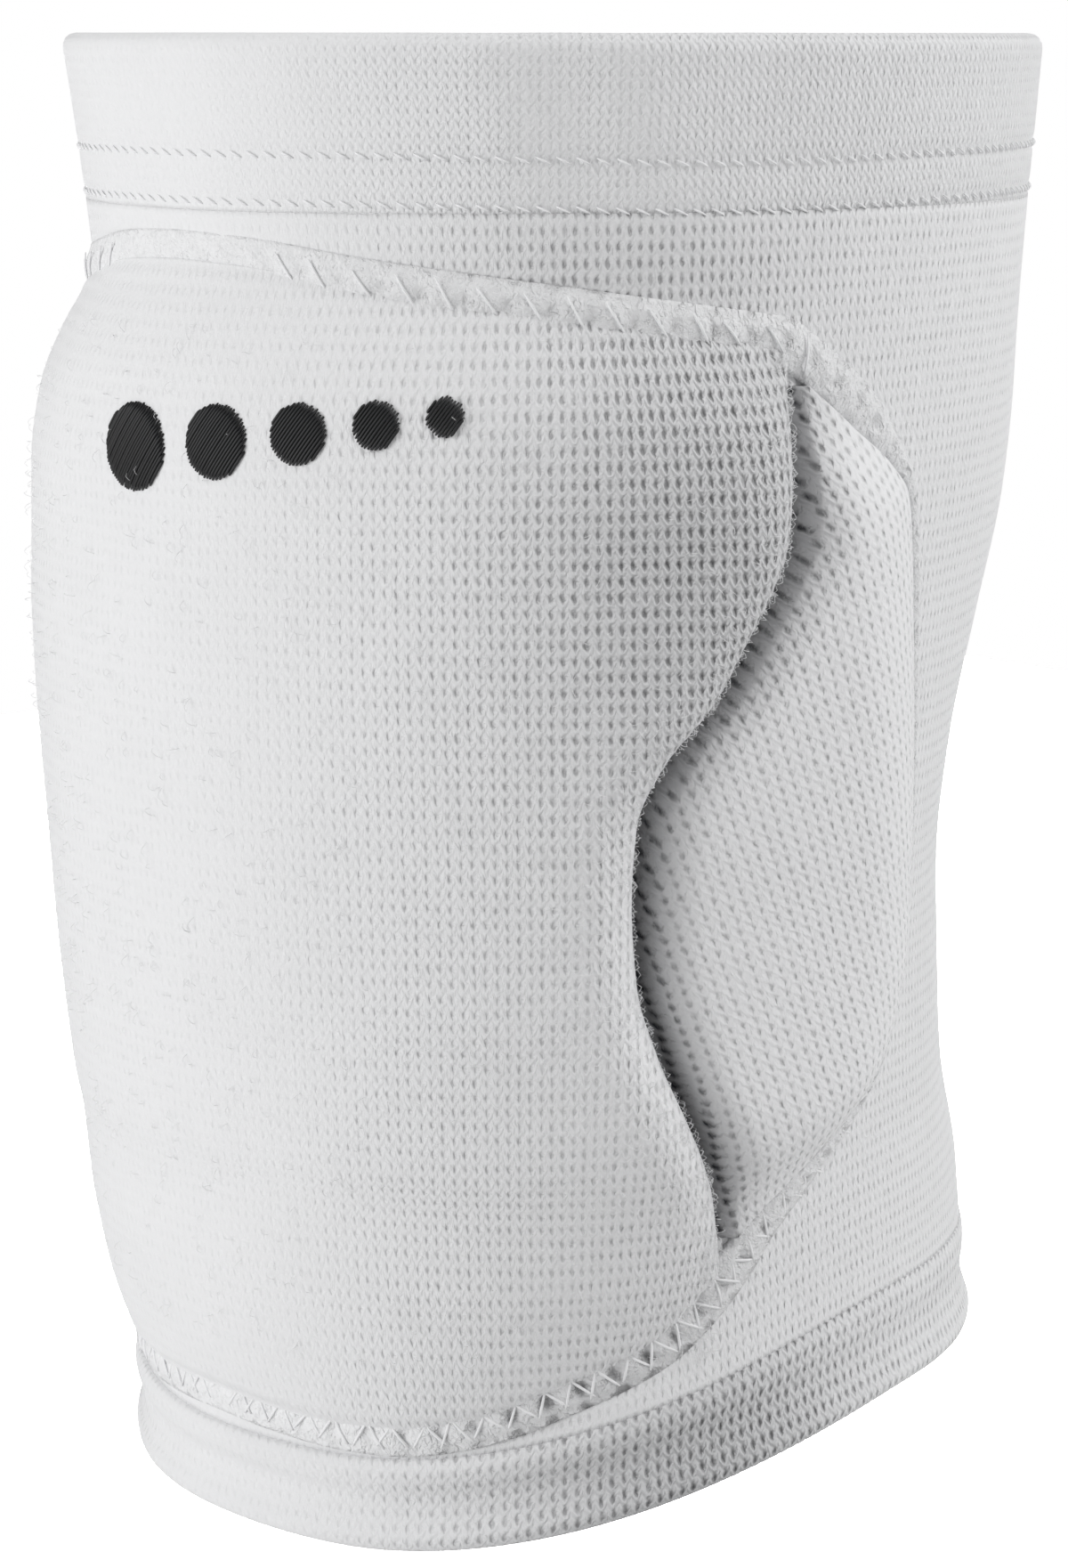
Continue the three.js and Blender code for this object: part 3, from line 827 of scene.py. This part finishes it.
def wing_rows():
    """Distances down of the wing's rows, closest together at its ends."""
    downs = np.arange(COVER_TOP, COVER_BOTTOM, WING_SEARCH_STEP)
    width = wing_back(downs, 0) - wing_front(downs)
    room = np.isfinite(width) & (width > WING_LEAST)
    top, bottom = downs[room][0], downs[room][-1]
    row = np.linspace(0, 1, WING_ROWS + 1)[:, None]
    crowded = (1 - np.cos(np.pi * row)) / 2
    return top + (bottom - top) * (WING_EVEN * row + (1 - WING_EVEN) * crowded)


def make_wing(name, node, flank):
    down = wing_rows()
    top, bottom = down[0], down[-1]
    front = wing_front(down)
    column = np.linspace(0, 1, WING_COLUMNS + 1)[None, :] ** WING_CROWDING
    around = front + (wing_back(down, WING_TUCK) - front) * column
    from_crease = around - front
    to_back = wing_back(down, 0) - around
    down = down * np.ones_like(around)
    rise = (
        round_rise(from_crease + WING_FRONT_START, WING_FRONT_SPREAD * WING_CREASE_RISE)
        * np.sin(np.pi / 2 * share(to_back, 0, WING_SEAM_FALL))
        * np.sin(np.pi / 2 * share(down, top, top + WING_END_FALL))
        * np.sin(np.pi / 2 * share(down, bottom, bottom - WING_END_FALL))
    )
    front_edge = WING_FRONT_LEAST + (1 - WING_FRONT_LEAST) * smooth(from_crease, *WING_FRONT_FALL)
    edges = smooth(to_back, *WING_BACK_FALL) * front_edge
    lift = (SEAT + PAD_RIM + (WING_THICKNESS - PAD_RIM) * rise) * edges + WING_LOWEST
    tilt = math.radians(WING_KNIT["tilt"])
    u = (around * math.cos(tilt) - down * math.sin(tilt)) / WING_KNIT["wale"]
    v = (down * math.cos(tilt) + around * math.sin(tilt)) / WING_KNIT["course"]
    fade = smooth(from_crease, 0.2, 2) * smooth(to_back, 0, 2)
    angle = flank * angle_of(around)
    lift = lift + fade * (knit_relief(WING_KNIT, u, v) + WING_SOFTNESS * softness(angle, down))
    # Loops pulled open along the crease, which the material darkens with painted shadow
    open_and_shaded = 0
    for strength, reach in zip(*CREASE_PULL_AND_SHADOW.values()):
        open_and_shaded = open_and_shaded + strength * np.exp(-((from_crease / reach) ** 2))
    outer = sleeve_point(angle, down, lift)
    inner = sleeve_point(angle, down, SEAT * INSIDE_SEAT)
    wing = shell(name, outer, inner, u, v, 10, knits["wing_knit"], open_and_shaded=open_and_shaded)
    add(wing, "pad_cover", node)


# The seam's band: points along each stitch and across the band, and where it is broad, how
# far its edge reaches past the part's
BAND_FINENESS = 8
BAND_POINTS = 13
BAND_SPREAD = 0.55
BAND_ROUNDNESS = 0.85
BAND_SEAT_SHARE = 0.4
BAND_INSIDE = 0.05


def seam_loop(steps):
    """Angle and share of the cover's length of points right round the seam."""
    angle, down, _ = half_seam(steps // 2)
    angle = np.concatenate([angle, -angle[1:-1][::-1]])
    down = np.concatenate([down, down[1:-1][::-1]])
    return angle, down


def seam_frame(angle, down):
    """Places on the sleeve under the seam, normals, and directions across the seam."""
    place = sleeve_point(angle, down, 0)
    normal = surface_normal(angle, down)
    along = np.roll(place, -1, 0) - np.roll(place, 1, 0)
    return place, normal, unit(np.cross(along, normal))


def make_band():
    wales = 2 * round(HALF_LENGTH / BAND_KNIT["wale"])
    angle, fraction = seam_loop(BAND_FINENESS * wales)
    down = on_cover(fraction)
    place, normal, side = seam_frame(angle, down)
    across = np.linspace(-1, 1, BAND_POINTS)[:, None]
    wide = band_width_at(fraction)
    broad = share(wide, SIDE_BAND_WIDTH, BAND_WIDTH)
    half = 0.5 * wide + BAND_SPREAD * broad
    u = np.arange(len(angle))[None, :] / BAND_FINENESS * np.ones_like(across)
    v = (across + 1) / 2 * BAND_KNIT["rows"] * np.ones_like(u)
    petals = 1 - np.abs(np.sin(np.pi * (u + 0.5 * np.abs(across) ** 1.5))) ** 0.7
    dents = petals * broad + holes(2 * u, across * 0.5) * (1 - broad)
    crown = BAND_ROUNDNESS * BAND_THICKNESS * band_height(across) * (1.5 - 0.5 * broad)
    lift = SEAT * BAND_SEAT_SHARE + crown - BAND_KNIT["depth"] * dents * (1 - across**4)
    lift = lift * band_share(angle) + wear(angle, down)
    # Loops stand open here: wider holes, and painted shade in the material
    open_and_shaded = openness_and_shade("lower seam", angle, down)
    sideways = side * (across * half)[..., None]
    outer = place + normal * lift[..., None] + sideways
    inner = place + normal * BAND_INSIDE + sideways
    knit = knits["band_knit"]
    band = shell("cover_seam", outer, inner, u, v, 6, knit, wrap=True, open_and_shaded=open_and_shaded)
    add(band, "stitching", "cover_band")


# Sleeve and hems

# How far the sleeve goes on under each hem, and where its relief fades there
HEM_OVERLAP = 0.2
HEM_FADE = 1.5
SLEEVE_END_DIP = 0.03

# Where the hems' inner walls end at the fold, and the length of the lower hem's face above it
UPPER_FOLD_INSET = 0.5
LOWER_FOLD_INSET = 0.4
LOWER_HEM_FACE = 11


def ring_of(wales, points):
    """Angles right round the leg with points for each loop, and the loops' count at each."""
    count = points * wales
    angle = np.linspace(-180, 180, count, endpoint=False)[None, :]
    return angle, np.arange(count)[None, :] / points


def make_sleeve():
    courses = SLEEVE_KNIT["courses"]
    angle, u = ring_of(SLEEVE_KNIT["wales"], 2)
    row = np.linspace(0, 1, 2 * courses + 1)[:, None]
    top = UPPER_HEM_HEIGHT - HEM_OVERLAP
    bottom = lower_hem_down(angle) + HEM_OVERLAP
    down = top + (bottom - top) * row
    angle = angle * np.ones_like(row)
    u = u * np.ones_like(row)
    v = row * courses * np.ones_like(angle)
    ends = smooth(down, top, top + HEM_FADE) * smooth(down, bottom, bottom - HEM_FADE)
    # Loops stand open here: deeper relief, and painted shade in the material
    open_and_shaded = openness_and_shade("sleeve", angle, down)
    relief = knit_relief(SLEEVE_KNIT, u, v) * (1 + open_and_shaded) * ends
    lift = relief * slackness(angle) - SLEEVE_END_DIP * (1 - ends) + wear(angle, down)
    outer = sleeve_point(angle, down, lift)
    inner = sleeve_point(angle, down, -CLOTH)
    knit = knits["sleeve_knit"]
    sleeve = shell("sleeve_tube", outer, inner, u, v, 8, knit, wrap=True, open_and_shaded=open_and_shaded)
    return add(sleeve, "knit", "sleeve")


# The upper hem's two rows of stitches, and the groove that each one draws in
STITCH_ROWS = table("down dip angle width", [(15.2, 1.0, 70, 30), (21.2, 1.0, 70, 30)])
STITCH_RISE = 0.5
GROOVE = {"depth": 0.22, "width": 0.9, "least": 0.4}


def stitch_row_down(row, angle):
    """A hem stitch row, which dips a little on each flank."""
    away = (np.abs(angle) - STITCH_ROWS["angle"][row]) / STITCH_ROWS["width"][row]
    dip = STITCH_ROWS["dip"][row] * np.exp(-(away**2))
    return STITCH_ROWS["down"][row] + dip - STITCH_RISE


def stitch_grooves(angle, down):
    """Depth of the hem's stitched grooves, shallower where the knit is stretched flat."""
    total = 0
    for row in range(len(STITCH_ROWS["down"])):
        total = total + np.exp(-(((down - stitch_row_down(row, angle)) / GROOVE["width"]) ** 2))
    return GROOVE["depth"] * total * (GROOVE["least"] + (1 - GROOVE["least"]) * slackness(angle))


def make_upper_hem():
    angle, u = ring_of(UPPER_KNIT["wales"], 2)
    radius = UPPER_HEM_THICKNESS / 2
    turns = np.radians(np.linspace(180, 0, 9))[:, None]
    face = np.linspace(radius, UPPER_HEM_HEIGHT, 30)[1:, None]
    down = np.concatenate([radius * (1 - np.sin(turns)), face])
    lift = np.concatenate([radius * np.cos(turns) - radius, 0 * face])
    length = np.concatenate([radius * (np.pi - turns), np.pi * radius + face - radius])
    angle = angle * np.ones_like(down)
    down = down * np.ones_like(angle)
    u = u * np.ones_like(down)
    v = length / UPPER_KNIT["course"] * np.ones_like(angle)
    lift = lift + knit_relief(UPPER_KNIT, u, v) * slackness(angle)
    lift = lift + wear(angle, down) - stitch_grooves(angle, down)
    outer = sleeve_point(angle, down, lift)
    inside = np.linspace(radius + UPPER_FOLD_INSET, UPPER_HEM_HEIGHT, len(down))[:, None]
    inner = sleeve_point(angle, inside, -UPPER_HEM_THICKNESS)
    hem = shell("upper_hem_fold", outer, inner, u, v, 8, knits["upper_hem_knit"], wrap=True)
    return add(hem, "knit", "upper_hem")


def make_lower_hem():
    angle, u = ring_of(LOWER_KNIT["wales"], 4)
    radius = LOWER_HEM_THICKNESS / 2
    top = lower_hem_down(angle)
    rim = rim_down(angle)
    fold = rim - radius
    ridge = LOWER_HEM_RIDGE * (1 + (BACK_RIDGE - 1) * back_share(angle))
    along = np.linspace(0, 1, 23)[:, None]
    turns = np.radians(np.linspace(0, 180, 11))[1:, None]
    face_down = top + (fold - top) * along
    face_lift = ridge * hem_ridge(along) + LOWER_HEM_FLARE * hem_flare(along)
    fold_down = fold + radius * np.sin(turns)
    fold_lift = LOWER_HEM_FLARE - radius + radius * np.cos(turns) + 0 * angle
    down = np.concatenate([face_down, fold_down])
    lift = np.concatenate([face_lift, fold_lift])
    length = np.concatenate([along * LOWER_HEM_FACE, LOWER_HEM_FACE + radius * turns])
    angle = angle * np.ones_like(down)
    u = u * np.ones_like(down)
    v = length / LOWER_KNIT["course"] * np.ones_like(down)
    # Loops stand open here: deeper relief, and painted shade in the material
    open_and_shaded = openness_and_shade("lower hem", angle, down)
    relief = knit_relief(LOWER_KNIT, u, v) * (1 + open_and_shaded)
    lift = lift + relief * slackness(angle) + wear(angle, down)
    outer = sleeve_point(angle, down, lift)
    inside_end = fold - LOWER_FOLD_INSET
    inside = inside_end + (top - inside_end) * np.linspace(1, 0, len(down))[:, None]
    inner = sleeve_point(angle, inside, LOWER_HEM_FLARE - LOWER_HEM_THICKNESS)
    knit = knits["lower_hem_knit"]
    hem = shell("lower_hem_fold", outer, inner, u, v, 8, knit, wrap=True, open_and_shaded=open_and_shaded)
    return add(hem, "knit", "lower_hem")


# Threads

# Hem stitches: pitch and half a stitch's turn in degrees, the rest in millimetres
HEM_STITCH = {"pitch": 2.25, "turn": 0.8, "drop": 0.42, "height": 0.2, "sunk": 0.14, "radius": 0.15}

# Seam threads: begin and end are shares of half the seam, slant and shift are in pitches
SEAM_THREAD_NAMES = ("top_threads", "bottom_zigzag_a", "bottom_zigzag_b")
SEAM_THREADS = table(
    "begin end pitch amplitude radius height slant shift",
    [
        (0.05, 0.27, 4.6, 2.0, 0.16, 1.1, 0.6, 0),
        (0.66, 0.996, 3.8, 1.9, 0.2, 0.85, 0.55, 0),
        (0.66, 0.996, 3.8, -1.9, 0.2, 0.85, 0.55, 0.5),
    ],
)
THREAD_ARCH = 0.25


def thread_set(name, angle, down, lift, radius):
    """White threads laid on the sleeve's surface. Each array is thread by point."""
    centres = sleeve_point(angle, down, lift)
    normals = surface_normal(angle, down)
    add(tubes(name, centres, normals, radius, THREAD_SIDES, white_thread), "stitching")


def make_hem_stitches():
    middle = np.arange(-180, 180, HEM_STITCH["pitch"])[:, None]
    at = np.linspace(-1, 1, 4)[None, :]
    angle = middle + at * HEM_STITCH["turn"]
    lift = HEM_STITCH["height"] * (1 - at**2) - HEM_STITCH["sunk"] * (1 - slackness(angle))
    for row, name in enumerate(("hem_stitches_upper", "hem_stitches_seam")):
        down = stitch_row_down(row, middle) + at * HEM_STITCH["drop"]
        thread_set(name, angle, down, lift + wear(angle, down), HEM_STITCH["radius"])


def seam_threads(name, begin, end, pitch, amplitude, radius, height, slant, shift):
    """Slanted threads over a stretch of the seam, on both flanks."""
    steps = 4000
    angle, fraction, _ = half_seam(steps)
    step = np.arange(steps + 1)

    def on_seam(place):
        """Angle and distance down at places given in steps along the seam."""
        return np.interp(place, step, angle), on_cover(np.interp(place, step, fraction))

    count = int((end - begin) * HALF_LENGTH / pitch)
    dice = np.random.default_rng(count)
    pick = np.linspace(begin, end, count, endpoint=False)
    pick = pick + (shift + 0.3 * dice.random(count)) * pitch / HALF_LENGTH
    at = np.linspace(-1, 1, 5)[None, :]
    half_share = slant * pitch / HALF_LENGTH / 2
    index = np.clip(pick[:, None] + half_share * at, 0, 1) * steps
    a, d = on_seam(index)
    ahead_a, ahead_d = on_seam(index + 0.5)
    behind_a, behind_d = on_seam(index - 0.5)
    run_on = round_of(ahead_a - behind_a)
    drop = ahead_d - behind_d
    size = np.hypot(run_on, drop) + 1e-9
    zig = amplitude * at * dice.uniform(0.7, 1.1, count)[:, None]
    side_a = angle_of(-drop / size * zig)
    side_d = run_on / size * zig
    lift = (height + THREAD_ARCH * (1 - at**2)) * band_share(a)
    for flank, mark in ((1, "left"), (-1, "right")):
        seated = lift + wear(flank * a, d)
        thread_set(f"{name}_{mark}", flank * (a + side_a), d + side_d, seated, radius)


def make_seam_threads():
    for name, *row in zip(SEAM_THREAD_NAMES, *SEAM_THREADS.values()):
        seam_threads(name, **dict(zip(SEAM_THREADS, row)))


# Embroidered dots: degrees and millimetres down to the middle of each, and millimetres across
DOTS = table(
    "angle down size",
    [(1.0, 50.5, 11), (12.4, 49, 9), (22.0, 47.6, 7.3), (30.2, 46.4, 5.8), (37.2, 45.4, 4.6)],
)
DOT_SLANT = math.radians(35)
DOT_THREAD = 0.4
DOT_HEIGHT = 0.5
DOT_SEAT = 0.05
DOT_RAGGED = 0.12
DOT_UNEVEN = 0.07
DOT_FULLNESS = 0.35
DOT_THREAD_RADIUS = 0.54 * DOT_THREAD


def make_dots():
    dice = np.random.default_rng(3)
    shrink = KNEE_WIDTH / 2 / (KNEE_WIDTH / 2 + PAD_THICKNESS)
    at = np.linspace(-1, 1, 9)[None, :]
    for k, (middle_angle, middle_down, size) in enumerate(zip(*DOTS.values())):
        radius = size / 2
        offsets = np.arange(-radius + DOT_THREAD / 2, radius, DOT_THREAD)[:, None]
        half = np.sqrt(radius**2 - offsets**2)
        half = half + dice.uniform(-DOT_RAGGED, DOT_RAGGED, offsets.shape)
        x = offsets * math.cos(DOT_SLANT) - half * at * math.sin(DOT_SLANT)
        y = offsets * math.sin(DOT_SLANT) + half * at * math.cos(DOT_SLANT)
        angle = middle_angle + angle_of(x * shrink)
        down = middle_down + y
        crown = np.clip(1 - (x**2 + y**2) / radius**2, 0, 1) ** DOT_FULLNESS
        lift = pad_lift(angle, down)[0] + PAD_SOFTNESS * softness(angle, down)
        lift = lift + DOT_SEAT + DOT_HEIGHT * crown
        lift = lift + dice.uniform(-DOT_UNEVEN, DOT_UNEVEN, offsets.shape)
        centres = sleeve_point(angle, down, lift)
        normals = surface_normal(angle, down)
        name = f"embroidered_dot_{k + 1}"
        dot = tubes(name, centres, normals, DOT_THREAD_RADIUS, THREAD_SIDES, black_thread)
        add(dot, "embroidery")


# Loose fibres: how many, millimetres, and the share by the crease with its mean distance
FIBRES = {"count": 4200, "length": 1.8, "radius": 0.036, "by_crease": 0.7, "spread": 3.0}
FIBRE_ROOT = 0.1
FIBRE_STEP = 0.25


def on_pad(angle, down):
    """A point just over the kneecap pad's cover."""
    return sleeve_point(angle, down, pad_lift(angle, down)[0] + FIBRE_ROOT)


def make_fibres():
    """Loose fibres of the kneecap pad's cover, most of them near the crease."""
    dice = np.random.default_rng(7)
    count = FIBRES["count"]
    down = dice.uniform(COVER_TOP + 8, COVER_BOTTOM - 10, count)
    edge = round_of(crease_at(cover_share(down))) - CREASE_WIDTH / 2
    by_crease = dice.random(count) < FIBRES["by_crease"]
    close = dice.exponential(FIBRES["spread"], count)
    from_edge = np.where(by_crease, close, edge * dice.random(count))
    flank = np.where(dice.random(count) < 0.5, -1, 1)
    angle = flank * angle_of(edge - np.minimum(from_edge + 0.3, edge - 1))
    root = on_pad(angle, down)
    turned = on_pad(angle + FIBRE_STEP, down) - root
    dropped = on_pad(angle, down + FIBRE_STEP) - root
    normal = unit(np.cross(dropped, turned))
    heading = dice.uniform(0, 2 * np.pi, count)[:, None]
    lean = unit(unit(turned) * np.cos(heading) + unit(dropped) * np.sin(heading))
    length = FIBRES["length"] * dice.uniform(0.5, 1.3, count)[:, None]
    points = []
    for at in np.linspace(0, 1, 4):
        rise = 0.55 * math.sin(math.pi * at * 0.8) - 0.1
        points.append(root + lean * length * at * 0.8 + normal * length * rise)
    centres = np.stack(points, 1)
    normals = np.repeat(normal[:, None], len(points), 1)
    fuzz = tubes("loose_fibres", centres, normals, FIBRES["radius"], 3, white_thread)
    add(fuzz, "pad_cover")


make_pad()
make_wing("wing_cover_left", "wing_pad_left", 1)
make_wing("wing_cover_right", "wing_pad_right", -1)
make_band()
sleeve_tube = make_sleeve()
hems = [make_upper_hem(), make_lower_hem()]
make_hem_stitches()
make_seam_threads()
make_dots()
make_fibres()

# Camera


def outwards(azimuth, height):
    """Direction from the knee, by degrees round from its front and degrees up."""
    turn = math.radians(azimuth)
    up = math.radians(height)
    return Vector((math.sin(turn) * math.cos(up), -math.cos(turn) * math.cos(up), math.sin(up)))


def stand_at(name, data, location, towards):
    """Puts a camera or a lamp in the scene, looking towards a direction."""
    thing = bpy.data.objects.new(name, data)
    thing.location = location
    thing.rotation_mode = "QUATERNION"
    thing.rotation_quaternion = towards.to_track_quat("-Z", "Y")
    bpy.context.scene.collection.objects.link(thing)
    return thing


lens = bpy.data.cameras.new("camera")
lens.sensor_width = 36
lens.lens = lens.sensor_width * FOCAL_PIXELS / PHOTO_LONG_SIDE
lens.clip_start = 0.02
lens.clip_end = 50
stand = outwards(CAMERA_AZIMUTH, 0) * CAMERA_DISTANCE + Vector((0, 0, KNEE_DROP))
stand = stand - outwards(CAMERA_AZIMUTH + 90, 0) * CAMERA_SIDESTEP
ahead = -outwards(CAMERA_AZIMUTH, CAMERA_PITCH)
bpy.context.scene.camera = stand_at("camera", lens, stand * MM, ahead)

# Studio, in metres and watts

LAMP_SIZE = (0.7, 1.1)
LAMPS = [
    {"name": "left", "azimuth": -14, "height": 10, "away": 1.1, "power": 7.7},
    {"name": "right", "azimuth": 124, "height": 34, "away": 1.1, "power": 7.9},
    {"name": "top", "azimuth": 48, "height": 78, "away": 1.2, "power": 0.6},
]
FLOOR_HALF = 3
FLOOR_HEIGHT = -0.6
FLOOR_LAMP = {"away": 2.9, "height": 0.6, "size": (3, 3), "power": 160, "spread": 70}
WORLD_LIGHT = 0.46
WORLD_FALL = 0.18
WORLD_LEAN = 0.08


def area_light(name, size, power):
    light = bpy.data.lights.new(name, "AREA")
    light.shape = "RECTANGLE"
    light.size, light.size_y = size
    light.energy = power
    return light


for lamp in LAMPS:
    away = outwards(lamp["azimuth"], lamp["height"])
    light = area_light(lamp["name"], LAMP_SIZE, lamp["power"])
    stand_at(lamp["name"], light, away * lamp["away"], -away)

corners = [(-1, -1), (1, -1), (1, 1), (-1, 1)]
floor_mesh = bpy.data.meshes.new("floor")
floor_mesh.from_pydata(
    [(x * FLOOR_HALF, y * FLOOR_HALF, FLOOR_HEIGHT) for x, y in corners], [], [(0, 1, 2, 3)]
)
floor_mesh.materials.append(plain_material("floor_white", (0.86, 0.86, 0.86), 1.0, 0.0))
floor = bpy.data.objects.new("floor", floor_mesh)
bpy.context.scene.collection.objects.link(floor)

# A lamp over the floor behind the pad, which keeps the floor white there
floor_light = area_light("floor_light", FLOOR_LAMP["size"], FLOOR_LAMP["power"])
floor_light.spread = math.radians(FLOOR_LAMP["spread"])
behind = outwards(CAMERA_AZIMUTH, 0) * -FLOOR_LAMP["away"] + Vector((0, 0, FLOOR_LAMP["height"]))
stand_at("floor_light", floor_light, behind, Vector((0, 0, -1)))

# World: white where the camera sees it. As light it is weaker, most of all from below.
world = bpy.data.worlds.new("studio")
world.use_nodes = True
bpy.context.scene.world = world
nodes = world.node_tree.nodes
links = world.node_tree.links
background = nodes["Background"]
background.inputs["Color"].default_value = (1, 1, 1, 1)
sky = nodes.new("ShaderNodeSeparateXYZ")
links.new(nodes.new("ShaderNodeTexCoord").outputs["Generated"], sky.inputs[0])
level = math_node(nodes, links, "ABSOLUTE", sky.outputs[2])
glow = math_node(nodes, links, "MULTIPLY_ADD", level, -WORLD_FALL, WORLD_LIGHT)
glow = math_node(nodes, links, "MULTIPLY_ADD", sky.outputs[2], WORLD_LEAN, glow)
seen = nodes.new("ShaderNodeLightPath").outputs["Is Camera Ray"]
strength = math_node(nodes, links, "MAXIMUM", seen, glow)
links.new(strength, background.inputs["Strength"])
bpy.context.scene.view_settings.view_transform = "Standard"
